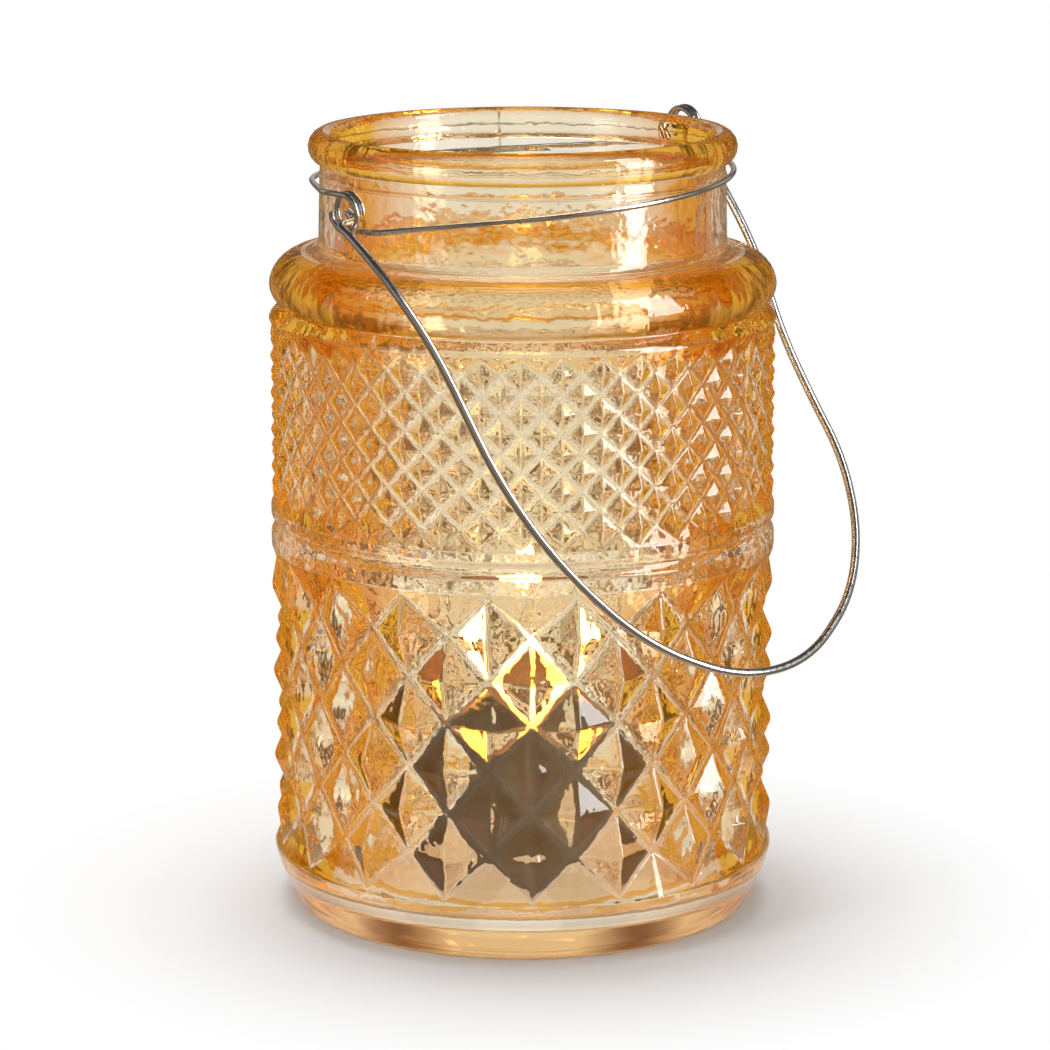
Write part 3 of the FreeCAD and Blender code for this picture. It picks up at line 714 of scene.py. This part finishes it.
class JARLANTERN_OT_flame(bpy.types.Operator):
    """Lights the flame-shaped diffuser and the diode inside it"""

    bl_idname = "jar_lantern.flame"
    bl_label = "Flame"

    def execute(self, context):
        colours = context.scene.jar_lantern_candle
        low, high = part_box("flame_tip")
        material, finish = new_material("lit_diffuser")
        height = finish.axes(finish.place())[2]
        rise = finish.fit(height, low.z, high.z)
        ember = tuple(colours.ember)
        flame = tuple(colours.flame)
        levels = (
            (0.0, ember, 0.12),
            (0.22, ember, 0.4),
            (0.42, ember, 0.9),
            (0.60, flame, 1.0),
            (0.88, flame, 1.0),
            (1.0, ember, 0.9),
        )
        stops = [(place, tuple(part * level for part in colour)) for place, colour, level in levels]
        lit = finish.node("ShaderNodeValToRGB", {"stops": stops}, {"Fac": rise})
        frost = finish.noise(1500.0, 2.0)
        finish.surface(
            Base_Color=(0.95, 0.86, 0.66),
            Roughness=finish.fit(frost, 0.3, 0.7, 0.5, 0.65),
            Emission_Color=lit,
            Emission_Strength=colours.glow,
            Normal=finish.bump(frost, 0.04 * MM, 0.5),
        )
        dress("flame_tip", material)
        resin, finish = new_material("diode_resin")
        haze = finish.noise(900.0, 2.0)
        finish.surface(
            Base_Color=finish.blend(haze, (0.95, 0.80, 0.45), (0.98, 0.88, 0.62)),
            Roughness=finish.fit(haze, 0.3, 0.7, 0.12, 0.22),
            Emission_Color=flame,
            Emission_Strength=colours.glow,
        )
        dress("led", resin)
        return {"FINISHED"}


class JARLANTERN_OT_electrics(bpy.types.Operator):
    """Finishes the cell, contacts, board and switch inside the candle"""

    bl_idname = "jar_lantern.electrics"
    bl_label = "Electrics"

    def execute(self, context):
        dress("coin_cell", plated("cell_can", (0.70, 0.71, 0.72), 0.25))
        strip = plated("spring_strip", (0.68, 0.66, 0.60), 0.22)
        dress("negative_contact", strip)
        dress("positive_contact", strip)
        tinned = plated("tinned_wire", (0.74, 0.74, 0.73), 0.30)
        dress("led_leads", tinned)
        dress("switch_terminals", tinned)
        dress("slide_switch", plated("switch_can", (0.60, 0.60, 0.60), 0.34))
        dress("circuit_board", self.laminate())
        dress("flicker_chip", self.resin())
        dress("resistor", self.banded())
        dress("switch_knob", self.knob())
        return {"FINISHED"}

    def laminate(self):
        """Solder mask with paler copper tracks under it."""
        material, finish = new_material("solder_mask")
        tracks = finish.node("ShaderNodeTexWave", {"wave_type": "BANDS"}, {
            "Vector": finish.place(), "Scale": 120.0, "Distortion": 6.0, "Detail": 1.0,
        })
        copper = finish.fit(tracks, 0.78, 0.84)
        finish.surface(
            Base_Color=finish.blend(copper, (0.020, 0.115, 0.045), (0.060, 0.235, 0.090)),
            Roughness=finish.fit(copper, 0.0, 1.0, 0.32, 0.24),
            Normal=finish.bump(copper, 0.03 * MM, 0.6),
        )
        return material

    def resin(self):
        """A bead of black potting resin."""
        material, finish = new_material("potting_resin")
        skin = finish.noise(800.0, 2.0)
        finish.surface(
            Base_Color=finish.blend(skin, (0.010, 0.010, 0.011), (0.024, 0.023, 0.022)),
            Roughness=finish.fit(skin, 0.3, 0.7, 0.18, 0.32),
            Normal=finish.bump(skin, 0.04 * MM, 0.5),
        )
        return material

    def banded(self):
        """A painted resistor with its colour rings and tinned leads."""
        low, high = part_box("resistor")
        material, finish = new_material("resistor_paint")
        across = finish.axes(finish.place())[0]
        along = finish.fit(across, low.x, high.x)
        body = (0.62, 0.47, 0.28)
        brown = (0.11, 0.04, 0.015)
        red = (0.50, 0.03, 0.02)
        gold = (0.48, 0.33, 0.10)
        metal = (0.72, 0.72, 0.71)
        rings = finish.node("ShaderNodeValToRGB", {"stops": [
            (0.0, metal), (0.21, body), (0.30, brown), (0.36, body), (0.43, red),
            (0.49, body), (0.56, brown), (0.62, body), (0.70, gold), (0.76, body), (0.80, metal),
        ]}, {"Fac": along})
        rings.socket.node.color_ramp.interpolation = "CONSTANT"
        skin = finish.noise(1200.0, 2.0)
        finish.surface(
            Base_Color=rings,
            Roughness=finish.fit(skin, 0.3, 0.7, 0.28, 0.4),
            Normal=finish.bump(skin, 0.02 * MM, 0.4),
        )
        return material

    def knob(self):
        """Matt black switch knob."""
        material, finish = new_material("knob_moulding")
        grain = finish.noise(3000.0, 2.0)
        finish.surface(
            Base_Color=finish.blend(grain, (0.012, 0.012, 0.012), (0.030, 0.029, 0.028)),
            Roughness=finish.fit(grain, 0.3, 0.7, 0.45, 0.6),
            Normal=finish.bump(grain, 0.04 * MM, 0.6),
        )
        return material


class JARLANTERN_OT_stage(bpy.types.Operator):
    """Sets the floor, the soft studio light, the white surround and the camera"""

    bl_idname = "jar_lantern.stage"
    bl_label = "Stage"

    def execute(self, context):
        studio = context.scene.jar_lantern_studio
        context.scene.view_settings.view_transform = "Standard"
        paths = context.scene.cycles
        paths.max_bounces = 32
        paths.glossy_bounces = 24
        paths.transmission_bounces = 32
        self.floor(studio)
        self.surround()
        self.softbox("key_box", (0.20, -0.55, 0.36), (0.20, 0.66), 5.0)
        self.softbox("side_box", (-0.90, 0.10, 0.45), (0.25, 0.80), 3.0, key=False)
        self.softbox("top_box", (0.10, 0.25, 1.30), (0.9, 0.9), 12.0, key=False)
        self.camera(context.scene, studio)
        return {"FINISHED"}

    def floor(self, studio):
        """A wide pale floor: near the jar a lit grey floor that takes the lamps' shadow, whose grey
        fading to plain white further off is a painted shadow.
        """
        bm = bmesh.new()
        bmesh.ops.create_circle(bm, cap_ends=True, radius=8.0, segments=96)
        mesh = bpy.data.meshes.new("floor")
        bm.to_mesh(mesh)
        bm.free()
        material, finish = new_material("pale_floor")
        x, y = finish.axes(finish.place())[:2]
        away = (x * x + y * y) ** 0.5
        grain = finish.noise(40.0, 2.0)
        darker = tuple(part * 0.99 for part in studio.floor)
        matt = finish.node("ShaderNodeBsdfPrincipled", inputs={
            "Base Color": finish.blend(grain, tuple(studio.floor), darker),
            "Roughness": 0.75,
            "Specular IOR Level": 0.2,
        })
        path = finish.node("ShaderNodeLightPath").socket.node.outputs
        lane = finish.cards(x, y) * finish.fit(away, 2.5, 6.0, 1.0, 0.0)
        lane = x.maths("MAXIMUM", lane, finish.fit(away, 100 * MM, 220 * MM, 0.85, 0.0))
        through = Value(finish, path["Is Transmission Ray"])
        mirrored = Value(finish, path["Is Glossy Ray"])
        lane = finish.blend(lane, (0.20, 0.12, 0.05), PALE_CARD)
        paper = finish.blend(mirrored, (1, 1, 1), (0.22, 0.16, 0.09))
        paper = finish.blend(through, paper, lane)
        white = finish.node("ShaderNodeEmission", inputs={"Color": paper, "Strength": 1.0})
        seen = Value(finish, path["Is Camera Ray"]) + mirrored
        # Painted shadow: the grey matt floor near the jar fades to white emission further off.
        painted_shadow_fade = finish.fit(away, 66 * MM, 130 * MM) * seen + through
        mixed = finish.node("ShaderNodeMixShader", inputs={0: painted_shadow_fade, 1: matt, 2: white})
        finish.node("ShaderNodeOutputMaterial", inputs={"Surface": mixed})
        mesh.materials.append(material)
        floor = bpy.data.objects.new("floor", mesh)
        bpy.context.scene.collection.objects.link(floor)

    def surround(self):
        """Soft grey light all round, seen as white behind the jar."""
        world = bpy.data.worlds.new("studio")
        bpy.context.scene.world = world
        world.use_nodes = True
        finish = Finish(world.node_tree)
        path = finish.node("ShaderNodeLightPath").socket.node.outputs
        x, y, z = finish.axes(finish.node("ShaderNodeTexCoord", output="Generated"))
        cards = finish.cards(x, y) * finish.fit(z, 0.3, 0.7, 1.0, 0.0)
        polished = finish.blend(cards, (0.01, 0.008, 0.006), (0.10, 0.09, 0.08))
        brushed = finish.blend(cards, (0.05, 0.045, 0.04), (0.50, 0.50, 0.50))
        mirrored = finish.blend(Value(finish, path["Is Singular Ray"]), brushed, polished)
        through = finish.blend(cards, (0.20, 0.11, 0.03), PALE_CARD)
        colour = finish.blend(Value(finish, path["Is Glossy Ray"]), (0.80, 0.80, 0.80), mirrored)
        colour = finish.blend(Value(finish, path["Is Transmission Ray"]), colour, through)
        colour = finish.blend(Value(finish, path["Is Camera Ray"]), colour, (1, 1, 1))
        sky = finish.node("ShaderNodeBackground", inputs={"Color": colour, "Strength": 1.0})
        finish.node("ShaderNodeOutputWorld", inputs={"Surface": sky})

    def softbox(self, name, place, size, power, key=True):
        """A lamp that faces the jar; the key lamp shows in reflections only, the others light."""
        lamp = bpy.data.lights.new(name, "AREA")
        lamp.shape = "RECTANGLE"
        lamp.size, lamp.size_y = size
        lamp.energy = power
        box = bpy.data.objects.new(name, lamp)
        box.location = place
        aim = Vector((0, 0, 0.09)) - Vector(place)
        box.rotation_euler = aim.to_track_quat("-Z", "Y").to_euler()
        box.visible_camera = False
        box.visible_glossy = key
        box.visible_diffuse = not key
        bpy.context.scene.collection.objects.link(box)

    def camera(self, scene, studio):
        """The camera at the photograph's viewing angle."""
        lens = bpy.data.cameras.new("camera")
        lens.lens = studio.lens
        lens.sensor_width = 36.0
        lens.shift_x = studio.shift
        lens.clip_start = 0.05
        lens.clip_end = 50.0
        camera = bpy.data.objects.new("camera", lens)
        bearing = studio.bearing
        inward = Vector((-math.sin(bearing), math.cos(bearing), 0))
        camera.location = UP * studio.camera_height - inward * studio.distance
        aim = inward - UP * math.tan(studio.pitch)
        camera.rotation_euler = aim.to_track_quat("-Z", "Y").to_euler()
        scene.collection.objects.link(camera)
        scene.camera = camera


class JARLANTERN_PT_panel(bpy.types.Panel):
    """Lists the lantern's settings and steps"""

    bl_label = "Mason Jar Lantern"
    bl_idname = "JARLANTERN_PT_panel"
    bl_space_type = "VIEW_3D"
    bl_region_type = "UI"
    bl_category = "Lantern"

    def draw(self, context):
        for operator in OPERATORS:
            self.layout.operator(operator.bl_idname)
        for name, group in SETTINGS.items():
            box = self.layout.box()
            settings = getattr(context.scene, name)
            for field in group.__annotations__:
                box.prop(settings, field)


OPERATORS = (
    JARLANTERN_OT_glass,
    JARLANTERN_OT_wires,
    JARLANTERN_OT_candle,
    JARLANTERN_OT_flame,
    JARLANTERN_OT_electrics,
    JARLANTERN_OT_stage,
)

SETTINGS = {
    "jar_lantern_jar": JarSettings,
    "jar_lantern_wire": WireSettings,
    "jar_lantern_candle": CandleSettings,
    "jar_lantern_studio": StudioSettings,
}


def register():
    """Registers the classes and the scene's settings."""
    for group in SETTINGS.values():
        bpy.utils.register_class(group)
    for operator in OPERATORS:
        bpy.utils.register_class(operator)
    bpy.utils.register_class(JARLANTERN_PT_panel)
    for name, group in SETTINGS.items():
        setattr(bpy.types.Scene, name, bpy.props.PointerProperty(type=group))


def unregister():
    """Takes everything out again."""
    for name in SETTINGS:
        delattr(bpy.types.Scene, name)
    bpy.utils.unregister_class(JARLANTERN_PT_panel)
    for operator in reversed(OPERATORS):
        bpy.utils.unregister_class(operator)
    for group in reversed(SETTINGS.values()):
        bpy.utils.unregister_class(group)


def main():
    """Builds the lantern and its stage."""
    register()
    bpy.ops.jar_lantern.glass()
    bpy.ops.jar_lantern.wires()
    bpy.ops.jar_lantern.candle()
    bpy.ops.jar_lantern.flame()
    bpy.ops.jar_lantern.electrics()
    bpy.ops.jar_lantern.stage()
    bpy.context.view_layer.update()


if __name__ == "__main__":
    main()
